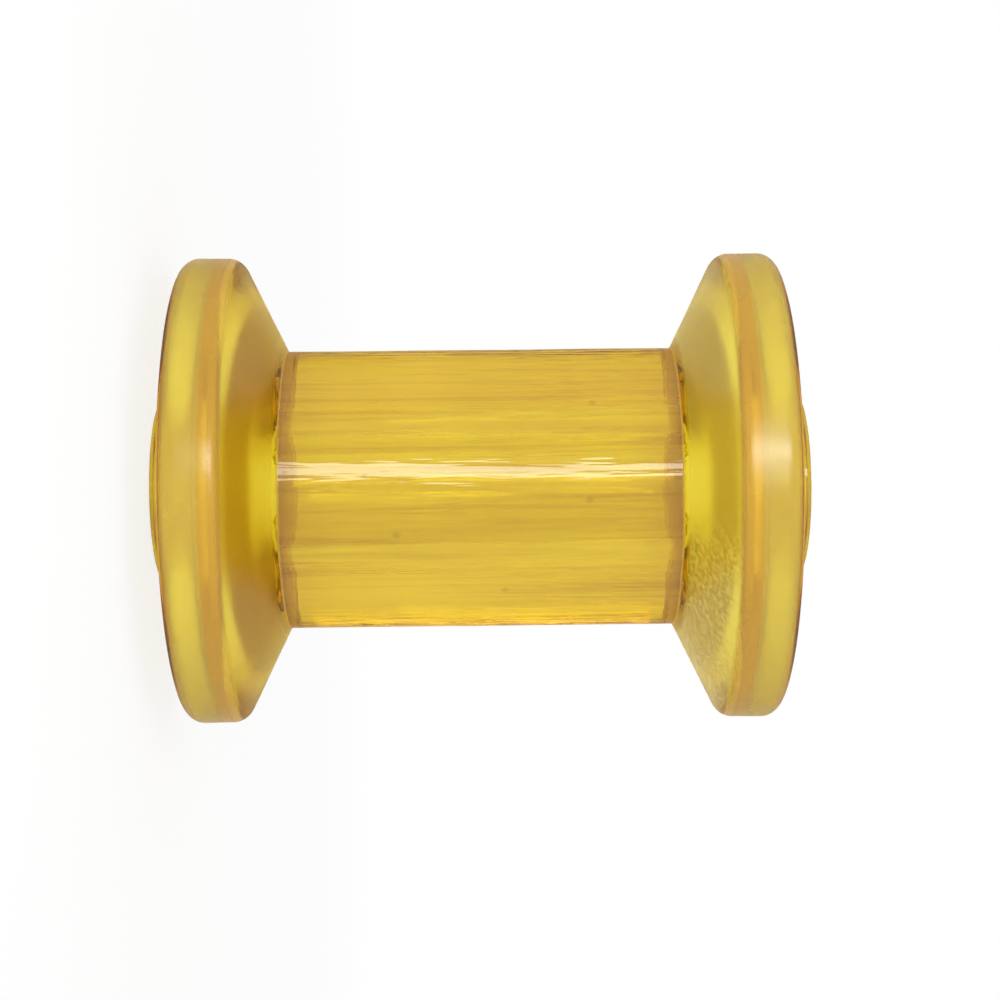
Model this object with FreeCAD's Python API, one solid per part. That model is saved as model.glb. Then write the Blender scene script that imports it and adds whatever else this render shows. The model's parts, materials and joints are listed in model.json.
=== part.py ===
import FreeCAD, Part
import math
import os

# Boat trailer spool roller: one solid moulding, a barrel between two flanges, with a through bore.
# Each end has a hub that stands out past the flange, and a shallow ring-shaped recess round it.
# Millimetres. It stands on one end: the axis is +Z, the origin is the centre of the lower end face.

# Driving dimensions
length = 101.6
flange_diameter = 73.8
barrel_diameter = 44.2
bore_diameter = 17.5
# Straight band of each flange, from its outer face to the sharp start of its cone
rim_width = 8.8
# How far each cone reaches along the axis, from the rim down to the barrel
cone_length = 7.3

# The hub at each end, and how far it stands out past the flange's face
hub_diameter = 29.0
hub_height = 4.3

# The recess in each flange's face, between the hub and a sloping wall
recess_mouth_diameter = 62.0
recess_floor_diameter = 52.0
recess_depth = 4.5

# Radii of the moulded edges
end_edge_radius = 2.6
cone_edge_radius = 2.5
barrel_root_radius = 0.4
bore_mouth_radius = 0.8
hub_edge_radius = 0.7
hub_root_radius = 0.9
recess_mouth_radius = 0.8
recess_root_radius = 1.0


def point(radius, height):
    return FreeCAD.Vector(radius, 0, height)


def edge_arc(before, corner, after, radius):
    """Start, middle and end of the arc that rounds one corner of the outline."""
    towards_before = (before - corner).normalize()
    towards_after = (after - corner).normalize()
    half_angle = towards_before.getAngle(towards_after) / 2
    setback = radius / math.tan(half_angle)
    inwards = (towards_before + towards_after).normalize()
    centre = corner + inwards * (radius / math.sin(half_angle))
    return [corner + towards_before * setback, centre - inwards * radius, corner + towards_after * setback]


def rounded_outline(corners):
    """A closed wire through (point, edge radius) corners, each corner rounded by its radius."""
    arcs = []
    for i, (corner, radius) in enumerate(corners):
        before = corners[i - 1][0]
        after = corners[(i + 1) % len(corners)][0]
        arcs.append(edge_arc(before, corner, after, radius))
    edges = []
    for i, arc in enumerate(arcs):
        edges.append(Part.LineSegment(arcs[i - 1][-1], arc[0]).toShape())
        edges.append(Part.Arc(*arc).toShape())
    return Part.Wire(edges)


def lower_corners():
    """Corners of the section's lower half, from the bore's mouth out over the end and up to the barrel."""
    bore = bore_diameter / 2
    hub = hub_diameter / 2
    flange = flange_diameter / 2
    barrel = barrel_diameter / 2
    face = hub_height
    floor = face + recess_depth
    cone = face + rim_width
    return [
        (point(bore, 0), bore_mouth_radius),
        (point(hub, 0), hub_edge_radius),
        (point(hub, floor), hub_root_radius),
        (point(recess_floor_diameter / 2, floor), recess_root_radius),
        (point(recess_mouth_diameter / 2, face), recess_mouth_radius),
        (point(flange, face), end_edge_radius),
        (point(flange, cone), cone_edge_radius),
        (point(barrel, cone + cone_length), barrel_root_radius),
    ]


def half_section():
    """The roller's section on one side of the axis. Its upper half mirrors the lower one."""
    lower = lower_corners()
    upper = [(point(corner.x, length - corner.z), radius) for corner, radius in reversed(lower)]
    return Part.Face(rounded_outline(lower + upper))


def spool_roller():
    return half_section().revolve(FreeCAD.Vector(0, 0, 0), FreeCAD.Vector(0, 0, 1), 360)


os.makedirs("parts", exist_ok=True)
spool_roller().exportStep("parts/spool_roller.step")
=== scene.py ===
import json
import math

import bmesh
import bpy
from mathutils import Matrix, Vector


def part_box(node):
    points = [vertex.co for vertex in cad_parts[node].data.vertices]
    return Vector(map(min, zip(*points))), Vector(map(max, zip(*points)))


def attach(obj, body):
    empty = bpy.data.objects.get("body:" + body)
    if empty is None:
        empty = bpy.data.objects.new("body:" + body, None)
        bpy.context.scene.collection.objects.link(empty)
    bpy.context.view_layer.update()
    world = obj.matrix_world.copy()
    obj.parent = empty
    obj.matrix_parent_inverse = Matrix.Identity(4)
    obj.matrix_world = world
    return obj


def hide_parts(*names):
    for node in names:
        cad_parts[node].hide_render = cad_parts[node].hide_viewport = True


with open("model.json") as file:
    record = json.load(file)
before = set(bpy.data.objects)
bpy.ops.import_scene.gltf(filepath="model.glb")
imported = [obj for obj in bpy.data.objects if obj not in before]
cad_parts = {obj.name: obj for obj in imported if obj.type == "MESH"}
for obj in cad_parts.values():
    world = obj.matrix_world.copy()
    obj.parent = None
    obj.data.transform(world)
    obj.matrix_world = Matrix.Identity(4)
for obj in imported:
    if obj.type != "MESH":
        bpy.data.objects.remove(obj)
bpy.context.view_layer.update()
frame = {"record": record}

# A boat trailer spool roller of clear amber plastic, standing on one end.
# Metres. The axis is +Z. In the photograph the axis lies across, so the camera is turned on its side.

mm = 0.001

# Sizes that the frame gives
low_corner, high_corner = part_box("spool_roller")
length = high_corner.z - low_corner.z
flange_radius = min(-low_corner.x, -low_corner.y, high_corner.x, high_corner.y)
bore_radius = next(m for m in frame["record"]["mounts"] if m["name"] == "bore")["dims"]["r_mm"] * mm

# Sizes of the moulding
barrel_radius = 22.1 * mm
rim_width = 8.8 * mm
cone_length = 7.3 * mm
hub_radius = 14.5 * mm
hub_height = 4.3 * mm
recess_mouth_radius = 31.0 * mm
recess_floor_radius = 26.0 * mm
recess_depth = 4.5 * mm

# Radii of the moulded edges
end_edge = 2.6 * mm
cone_edge = 2.5 * mm
barrel_root = 0.4 * mm
bore_mouth_edge = 0.8 * mm
hub_edge = 0.7 * mm
hub_root = 0.9 * mm
recess_mouth_edge = 0.8 * mm
recess_root = 1.0 * mm

# Heights above the lower end
flange_face = hub_height
recess_floor = flange_face + recess_depth
cone_start = flange_face + rim_width
barrel_start = cone_start + cone_length

# How far the outline turns at each kind of corner
square = math.pi / 2
cone_turn = math.atan2(flange_radius - barrel_radius, cone_length)
recess_turn = math.atan2(recess_depth, recess_mouth_radius - recess_floor_radius)

# Fineness of the mesh
facets_round = 256
row_spacing = 1.5 * mm
hair = 0.02 * mm
flat_border = 0.3 * mm

# Shrink waves of the skin
wave_spread = 20 * mm
wave_depth = 0.12 * mm

# Colours of the plastic
bend_of_light = 1.55
clear_amber = (1.0, 1.0, 0.21, 1)
# The streak colour also paints shade on the barrel and the bore wall
streak_and_shade_amber = (0.64, 0.50, 0.05, 1)
speck_brown = (0.3, 0.2, 0.03, 1)
edge_amber = (1.0, 0.995, 0.46, 1)
# The two milky colours also paint light seen through the rims: an orange ring and a yellow band
milky_orange_and_painted_light = (0.9, 0.50, 0.02, 1)
milky_yellow_and_painted_light = (0.95, 0.76, 0.08, 1)

# Inside the plastic, light fades by fading_per_metre times what deep_amber lacks of white
deep_amber = (0.93, 0.812, 0.0, 1)
fading_per_metre = 80

# Bands of painted light round each rim, standing in for light seen through the plastic, measured from the
# end
yellow_start = 4.6 * mm
orange_start = 10.1 * mm
orange_end = 13.4 * mm

# Dark specks on the front of the barrel, in millimetres: across and along from its middle, and how large
barrel_specks = [
    (-12.7, 17.0, 0.7),
    (1.9, 16.3, 0.8),
    (7.0, -12.8, 0.9),
    (15.6, 3.6, 0.9),
    (-2.0, -17.4, 0.6),
]


def select_nothing():
    if bpy.context.object and bpy.context.object.mode == "EDIT":
        bpy.ops.object.mode_set(mode="OBJECT")
    bpy.ops.object.select_all(action="DESELECT")


def select_in_edit(kind, wanted):
    """Selects only the vertices, edges or faces for which wanted(item) is true."""
    bpy.ops.mesh.select_mode(type=kind)
    bpy.ops.mesh.select_all(action="DESELECT")
    mesh = bmesh.from_edit_mesh(bpy.context.object.data)
    items = {"VERT": mesh.verts, "EDGE": mesh.edges, "FACE": mesh.faces}[kind]
    for item in items:
        if wanted(item):
            item.select = True
    mesh.select_flush_mode()
    bmesh.update_edit_mesh(bpy.context.object.data)


def distance_from_axis(place):
    return math.hypot(place.x, place.y)


def both_ends(height):
    return (height, length - height)


def cut_ring(height):
    bpy.ops.mesh.select_all(action="SELECT")
    bpy.ops.mesh.bisect(plane_co=(0, 0, height), plane_no=(0, 0, 1))


def turn_drum():
    """A drum as large as the flanges, with the barrel drawn in between them."""
    bpy.ops.mesh.primitive_cylinder_add(
        vertices=facets_round,
        radius=flange_radius,
        depth=length - 2 * flange_face,
        location=(0, 0, length / 2),
    )
    bpy.ops.object.transform_apply(location=True)
    bpy.ops.object.mode_set(mode="EDIT")
    for height in both_ends(cone_start) + both_ends(barrel_start):
        cut_ring(height)
    select_in_edit("VERT", lambda v: barrel_start - hair < v.co.z < length - barrel_start + hair)
    drawn_in = barrel_radius / flange_radius
    bpy.ops.transform.resize(value=(drawn_in, drawn_in, 1), center_override=(0, 0, length / 2))


def is_disc(face):
    return len(face.verts) == facets_round


def shape_end(outwards):
    """The recess, the hub and the start of the bore. Outwards is -1 at the lower end and 1 at the upper."""
    select_in_edit("FACE", lambda f: is_disc(f) and f.normal.z * outwards > 0)
    bpy.ops.mesh.inset(thickness=flange_radius - recess_mouth_radius, use_even_offset=False)
    bpy.ops.mesh.inset(thickness=recess_mouth_radius - recess_floor_radius, use_even_offset=False)
    bpy.ops.transform.translate(value=(0, 0, -outwards * recess_depth))
    bpy.ops.mesh.inset(thickness=recess_floor_radius - hub_radius, use_even_offset=False)
    rise = outwards * (recess_depth + hub_height)
    bpy.ops.mesh.extrude_region_move(TRANSFORM_OT_translate={"value": (0, 0, rise)})
    bpy.ops.mesh.inset(thickness=hub_radius - bore_radius, use_even_offset=False)


def pierce_bore():
    select_in_edit("FACE", is_disc)
    bpy.ops.mesh.bridge_edge_loops()


def round_ring(radius, height, turn, edge_radius, segments):
    """Rounds the corner at a ring, at both ends, where the outline turns by that angle."""
    def lies_at(place, level):
        return abs(place.z - level) < hair and abs(distance_from_axis(place) - radius) < hair

    def is_on_ring(edge):
        return any(all(lies_at(v.co, level) for v in edge.verts) for level in both_ends(height))

    select_in_edit("EDGE", is_on_ring)
    setback = edge_radius * math.tan(turn / 2)
    bpy.ops.mesh.bevel(offset_type="OFFSET", offset=setback, segments=segments, affect="EDGES")


def add_rows():
    """Rings between the corners, so that the skin can wave, and a narrow border round each flat face."""
    rows = int(length / row_spacing)
    for row in range(1, rows):
        cut_ring(row * length / rows)
    select_in_edit("FACE", lambda f: abs(f.normal.z) > 0.999)
    bpy.ops.mesh.inset(thickness=flat_border)


def wave_skin(roller):
    """The slight waves of a thick moulding that shrinks as it sets. The ends stay flat."""
    group = roller.vertex_groups.new(name="outer_skin")
    start = flange_face + end_edge
    for vertex in roller.data.vertices:
        from_end = min(vertex.co.z, length - vertex.co.z)
        past_recess = from_end > recess_floor + 1 * mm
        innermost = barrel_radius - 1 * mm if past_recess else recess_mouth_radius + 1 * mm
        if from_end > start and distance_from_axis(vertex.co) > innermost:
            group.add([vertex.index], min(1, (from_end - start) / (4 * mm)), "REPLACE")
    waves = bpy.data.textures.new("shrink_waves", "CLOUDS")
    waves.noise_scale = wave_spread
    waves.noise_depth = 1
    sink = roller.modifiers.new("shrink", "DISPLACE")
    sink.texture = waves
    sink.vertex_group = group.name
    sink.direction = "NORMAL"
    sink.mid_level = 1.0
    sink.strength = wave_depth
    bpy.ops.object.modifier_apply(modifier=sink.name)
    roller.vertex_groups.clear()


def mould_roller():
    select_nothing()
    turn_drum()
    roller = bpy.context.object
    roller.name = "moulded_roller"
    shape_end(-1)
    shape_end(1)
    pierce_bore()
    round_ring(flange_radius, flange_face, square, end_edge, 8)
    round_ring(flange_radius, cone_start, cone_turn, cone_edge, 8)
    round_ring(barrel_radius, barrel_start, cone_turn, barrel_root, 4)
    round_ring(recess_mouth_radius, flange_face, recess_turn, recess_mouth_edge, 4)
    round_ring(recess_floor_radius, recess_floor, recess_turn, recess_root, 4)
    round_ring(hub_radius, recess_floor, square, hub_root, 6)
    round_ring(hub_radius, 0, square, hub_edge, 6)
    round_ring(bore_radius, 0, square, bore_mouth_edge, 6)
    add_rows()
    bpy.ops.mesh.select_all(action="SELECT")
    bpy.ops.mesh.remove_doubles(threshold=0.001 * mm)
    bpy.ops.mesh.normals_make_consistent(inside=False)
    bpy.ops.object.mode_set(mode="OBJECT")
    wave_skin(roller)
    bpy.ops.object.shade_smooth_by_angle(angle=math.radians(30))
    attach(roller, "root")
    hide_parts("spool_roller")
    return roller


class Reading:
    """A number that varies over a surface: a node's output, with sums written on it."""

    def __init__(self, sheet, socket):
        self.sheet = sheet
        self.socket = socket

    def worked(self, operation, *others, clamp=False):
        settings = {"operation": operation, "use_clamp": clamp}
        return self.sheet.node("ShaderNodeMath", settings, [self, *others])[0]

    def __add__(self, other):
        return self.worked("ADD", other)

    __radd__ = __add__

    def __sub__(self, other):
        return self.worked("SUBTRACT", other)

    def __rsub__(self, other):
        return (self * -1) + other

    def __mul__(self, other):
        return self.worked("MULTIPLY", other)

    __rmul__ = __mul__

    def __pow__(self, other):
        return self.worked("POWER", other)

    def __abs__(self):
        return self.worked("ABSOLUTE")

    def limited(self):
        """Held between 0 and 1."""
        return self.worked("ADD", 0.0, clamp=True)

    def larger(self, other):
        return self.worked("MAXIMUM", other)

    def rise(self, start, end):
        """0 before start, 1 after end, and smooth between them. It falls where start is the larger."""
        settings = {"interpolation_type": "SMOOTHSTEP"}
        wanted = {"Value": self, "From Min": start, "From Max": end}
        return self.sheet.node("ShaderNodeMapRange", settings, wanted)[0]


class NodeSheet:
    """The nodes of one material or of the surroundings."""

    def __init__(self, tree):
        self.tree = tree
        tree.nodes.clear()

    def node(self, kind, settings=None, sockets=None):
        """Adds a node: its settings first, then the values or links of its sockets, by name or in order."""
        made = self.tree.nodes.new(kind)
        for name, value in (settings or {}).items():
            setattr(made, name, value)
        given = enumerate(sockets) if isinstance(sockets, list) else (sockets or {}).items()
        for key, value in given:
            socket = made.inputs[key]
            if isinstance(value, Reading):
                self.tree.links.new(value.socket, socket)
            else:
                socket.default_value = value
        return Outputs(self, made)


class Outputs:
    """A node's outputs, by name or number."""

    def __init__(self, sheet, made):
        self.sheet = sheet
        self.made = made

    def __getitem__(self, key):
        return Reading(self.sheet, self.made.outputs[key])


def amber_plastic():
    """Clear amber plastic, a little cloudy, with draw lines and streaks along the barrel, painted shade on
    the barrel and bands of painted light round the rims.
    """
    material = bpy.data.materials.new("amber_plastic")
    material.use_nodes = True
    sheet = NodeSheet(material.node_tree)
    place = sheet.node("ShaderNodeTexCoord")["Object"]
    parts = sheet.node("ShaderNodeSeparateXYZ", None, [place])

    def noise(size, stretch=1.0, detail=2.0):
        """Noise of this grain size, stretched along the axis."""
        stretched = sheet.node("ShaderNodeMapping", None, {"Vector": place, "Scale": (1, 1, 1 / stretch)})[0]
        wanted = {"Vector": stretched, "Scale": 1 / size, "Detail": detail}
        return sheet.node("ShaderNodeTexNoise", None, wanted)[0]

    def blend(share, start, end):
        wanted = {"Factor": share, "A": start, "B": end}
        return sheet.node("ShaderNodeMix", {"data_type": "RGBA"}, wanted)["Result"]

    def mixed(share, first, second):
        return sheet.node("ShaderNodeMixShader", None, [share, first, second])[0]

    # Where a point lies on the moulding
    radius = (parts[0] ** 2 + parts[1] ** 2) ** 0.5
    from_end = length / 2 - abs(parts[2] - length / 2)
    on_rims = radius.rise(flange_radius - 3 * mm, flange_radius - 2 * mm)
    # Painted light seen through each rim: a yellow band over most of the rim and an orange ring at its inner
    # rounded edge
    painted_light_yellow_band = on_rims * from_end.rise(yellow_start, yellow_start + 1 * mm)
    painted_light_yellow_band = painted_light_yellow_band * from_end.rise(orange_start + 0.5 * mm, orange_start)
    painted_light_orange_ring = on_rims * from_end.rise(orange_start, orange_start + 0.5 * mm)
    painted_light_orange_ring = painted_light_orange_ring * from_end.rise(orange_end, orange_end - 0.8 * mm)
    on_cones = from_end.rise(cone_start - 0.2 * mm, cone_start + 0.8 * mm)
    on_cones = on_cones * radius.rise(barrel_radius + 0.6 * mm, barrel_radius + 1.8 * mm)
    upper_cone = on_cones * parts[2].rise(length / 2, length / 2 + 5 * mm)
    frost = upper_cone * parts[1].rise(4 * mm, -4 * mm) * parts[0].rise(4 * mm, 11 * mm)
    on_floor = from_end.rise(recess_floor - 0.8 * mm, recess_floor - 0.4 * mm)
    on_floor = on_floor * from_end.rise(recess_floor + 0.8 * mm, recess_floor + 0.4 * mm)
    on_floor = on_floor * radius.rise(hub_radius + 0.6 * mm, hub_radius + 1.2 * mm)
    on_floor = on_floor * radius.rise(recess_floor_radius + 0.2 * mm, recess_floor_radius - 0.4 * mm)
    on_barrel = 1 - radius.rise(barrel_radius, barrel_radius + 1 * mm)
    on_barrel = on_barrel * from_end.rise(barrel_start - 1.5 * mm, barrel_start - 0.5 * mm)
    on_barrel = on_barrel * radius.rise(bore_radius + 4 * mm, bore_radius + 6 * mm)
    # Painted shade: the barrel darker towards the flanges, and the bore wall darker on its +X side
    painted_shade_near_flanges = from_end.rise(barrel_start + 9 * mm, barrel_start)
    painted_shade_lower_bore = radius.rise(bore_radius + 0.6 * mm, bore_radius + 0.2 * mm) * parts[0].rise(-2 * mm, 5 * mm)

    # Patterns in the skin
    draw_lines = noise(1.4 * mm, stretch=14)
    fine_streaks = noise(1.2 * mm, stretch=40).rise(0.52, 0.66)
    broad_streaks = noise(3.4 * mm, stretch=34).rise(0.5, 0.64)
    soft_waves = noise(9 * mm, stretch=3)
    cloudy = noise(16 * mm).rise(0.35, 0.7)
    mottle = noise(0.8 * mm, detail=1).rise(0.38, 0.68)

    relief = soft_waves * 1.8 + draw_lines * on_barrel
    bump = sheet.node("ShaderNodeBump", None, {"Strength": 1.0, "Distance": 0.10 * mm, "Height": relief})[0]
    matt = 0.4 * on_floor + 0.26 * on_cones + 0.12 * frost * mottle + 0.17 * on_rims
    roughness = 0.03 + 0.02 * cloudy + 0.01 * draw_lines + matt

    # Colour of the clear plastic: streaks, and painted shade near the flanges and on the +X side of the bore
    streaks_and_painted_shade = on_barrel * (0.6 * fine_streaks + 0.38 * broad_streaks + 0.28 * painted_shade_near_flanges)
    tint = blend((streaks_and_painted_shade + 0.5 * painted_shade_lower_bore).limited(), clear_amber, streak_and_shade_amber)
    specks = 0
    for across, along, size in barrel_specks:
        outwards = math.sqrt(barrel_radius ** 2 - (across * mm) ** 2)
        spot = (across * mm, -outwards, length / 2 + along * mm)
        away = sheet.node("ShaderNodeVectorMath", {"operation": "DISTANCE"}, [place, spot])["Value"]
        specks = specks + away.rise(size * mm, 0.3 * size * mm)
    tint = blend(0.5 * specks.limited(), tint, speck_brown)

    def smooth_plastic(colour, dullness, more):
        wanted = {"Base Color": colour, "Roughness": dullness, "IOR": bend_of_light, "Normal": bump}
        return sheet.node("ShaderNodeBsdfPrincipled", None, {**wanted, **more})[0]

    def see_through(dullness):
        """The plastic without its gloss, as it looks edge on."""
        wanted = {"Color": edge_amber, "Roughness": dullness, "IOR": bend_of_light, "Normal": bump}
        return sheet.node("ShaderNodeBsdfRefraction", None, wanted)[0]

    # Clear plastic that loses its gloss edge on, with a little milky plastic in it, and milky colour painted
    # in bands round the rims as painted light seen through them
    outside = 1 - sheet.node("ShaderNodeNewGeometry")["Backfacing"]
    edge_on = sheet.node("ShaderNodeLayerWeight", None, {"Blend": 0.5, "Normal": bump})["Facing"]
    glossy = smooth_plastic(tint, roughness, {"Transmission Weight": 1.0})
    dull = mixed(on_cones, see_through(0.05), see_through(0.31))
    clear = mixed(0.85 * outside * edge_on.rise(0.2, 0.7), glossy, dull)
    milk_and_painted_light = blend((painted_light_yellow_band + upper_cone).limited(), milky_orange_and_painted_light, milky_yellow_and_painted_light)
    milky_and_painted_light = smooth_plastic(milk_and_painted_light, 0.25, {})
    haze_and_painted_light = 0.07 + 0.05 * cloudy + on_cones * (0.05 + 0.05 * mottle)
    # Painted light: the orange ring and the yellow band round each rim add milky colour where light seen
    # through the plastic would be
    haze_and_painted_light = haze_and_painted_light + 0.3 * painted_light_orange_ring + 0.22 * painted_light_yellow_band + 0.15 * upper_cone + 0.24 * frost * mottle
    skin = mixed(haze_and_painted_light, clear, milky_and_painted_light)
    fading = {"Color": deep_amber, "Density": fading_per_metre}
    inside = sheet.node("ShaderNodeVolumeAbsorption", None, fading)[0]
    sheet.node("ShaderNodeOutputMaterial", None, {"Surface": skin, "Volume": inside})
    return material


def rays_that_show_the_background(sheet):
    """1 for rays from the camera, and for those that gloss or clear plastic sends on."""
    path = sheet.node("ShaderNodeLightPath")
    return path["Is Camera Ray"].larger(path["Is Glossy Ray"]).larger(path["Is Transmission Ray"])


def pale_floor():
    select_nothing()
    below_roller = (0, 0, -0.2 * mm)
    bpy.ops.mesh.primitive_circle_add(vertices=96, radius=4, fill_type="NGON", location=below_roller)
    floor = bpy.context.object
    floor.name = "floor"
    material = bpy.data.materials.new("white_floor")
    material.use_nodes = True
    material.cycles.emission_sampling = "NONE"
    sheet = NodeSheet(material.node_tree)
    place = sheet.node("ShaderNodeSeparateXYZ", None, [sheet.node("ShaderNodeTexCoord")["Object"]])
    from_roller = (place[0] ** 2 + place[1] ** 2) ** 0.5
    paint = sheet.node("ShaderNodeBsdfDiffuse", None, {"Color": (0.9, 0.9, 0.9, 1)})[0]
    # Near the roller a part of the paint shows, with the roller's shadow on it
    share = rays_that_show_the_background(sheet) * (0.8 + 0.2 * from_roller.rise(0.2, 0.9))
    white = sheet.node("ShaderNodeEmission", None, {"Color": (1, 1, 1, 1), "Strength": 1.02})[0]
    seen = sheet.node("ShaderNodeMixShader", None, [share, paint, white])[0]
    sheet.node("ShaderNodeOutputMaterial", None, {"Surface": seen})
    floor.data.materials.append(material)


def studio_air():
    """White all round, as the camera and the clear plastic show it."""
    world = bpy.data.worlds.new("studio_air")
    bpy.context.scene.world = world
    world.use_nodes = True
    world.cycles.sampling_method = "NONE"
    sheet = NodeSheet(world.node_tree)
    seen = rays_that_show_the_background(sheet)
    strength = 0.85 + 0.15 * seen
    air = sheet.node("ShaderNodeBackground", None, {"Color": (1, 1, 1, 1), "Strength": strength})[0]
    sheet.node("ShaderNodeOutputWorld", None, {"Surface": air})


def soft_box(name, height, turn, away, tall, wide, brightness):
    """A lamp this far above the roller's middle, turned in degrees from the camera's side towards -X."""
    centre = Vector((0, 0, length / 2 + height))
    turn = math.radians(turn)
    place = centre + away * Vector((-math.sin(turn), -math.cos(turn), 0))
    lamp = bpy.data.lights.new(name, "AREA")
    lamp.shape = "RECTANGLE"
    lamp.size = tall
    lamp.size_y = wide
    lamp.energy = brightness * tall * wide * math.pi
    fitting = bpy.data.objects.new(name, lamp)
    back = (place - centre).normalized()
    along = Vector((0, 0, 1))
    across = back.cross(along)
    fitting.matrix_world = Matrix.Translation(place) @ Matrix((along, across, back)).transposed().to_4x4()
    bpy.context.scene.collection.objects.link(fitting)


def photo_camera():
    """In front of the roller, level with its middle and turned on its side, as the photograph shows it."""
    photo_width = 1000
    middle_in_photo = (480.9, 487.7)
    distance = 324.5 * mm
    pixels_per_metre = 6243
    roll = -0.0109
    focal_pixels = pixels_per_metre * distance
    camera = bpy.data.cameras.new("photo_camera")
    camera.sensor_width = 36
    camera.lens = camera.sensor_width * focal_pixels / photo_width
    camera.clip_start = 0.01
    stand = bpy.data.objects.new("photo_camera", camera)
    bpy.context.scene.collection.objects.link(stand)
    image_right = Vector((0, 0, 1))
    image_up = Vector((-1, 0, 0))
    backwards = Vector((0, -1, 0))
    pan = (photo_width / 2 - middle_in_photo[0]) / focal_pixels
    tilt = (photo_width / 2 - middle_in_photo[1]) / focal_pixels
    turn = Matrix((image_right, image_up, backwards)).transposed()
    turn = turn @ Matrix.Rotation(-pan, 3, "Y") @ Matrix.Rotation(-tilt, 3, "X")
    turn = turn @ Matrix.Rotation(roll, 3, "Z")
    middle = Vector((0, 0, length / 2))
    stand.matrix_world = Matrix.Translation(middle + backwards * distance) @ turn.to_4x4()
    bpy.context.scene.camera = stand


roller = mould_roller()
roller.data.materials.clear()
roller.data.materials.append(amber_plastic())
pale_floor()
studio_air()
soft_box("key_soft_box", height=0.04, turn=14.2, away=0.22, tall=0.2, wide=0.036, brightness=6.5)
soft_box("rim_soft_box", height=0.072, turn=13.6, away=0.215, tall=0.036, wide=0.1, brightness=2.2)
soft_box("strip_box", height=0, turn=126, away=0.9, tall=1.6, wide=0.24, brightness=0.16)
photo_camera()
bpy.context.scene.view_settings.view_transform = "Standard"

# Light that bounces more often than this changes nothing that shows
bpy.context.scene.cycles.max_bounces = 8
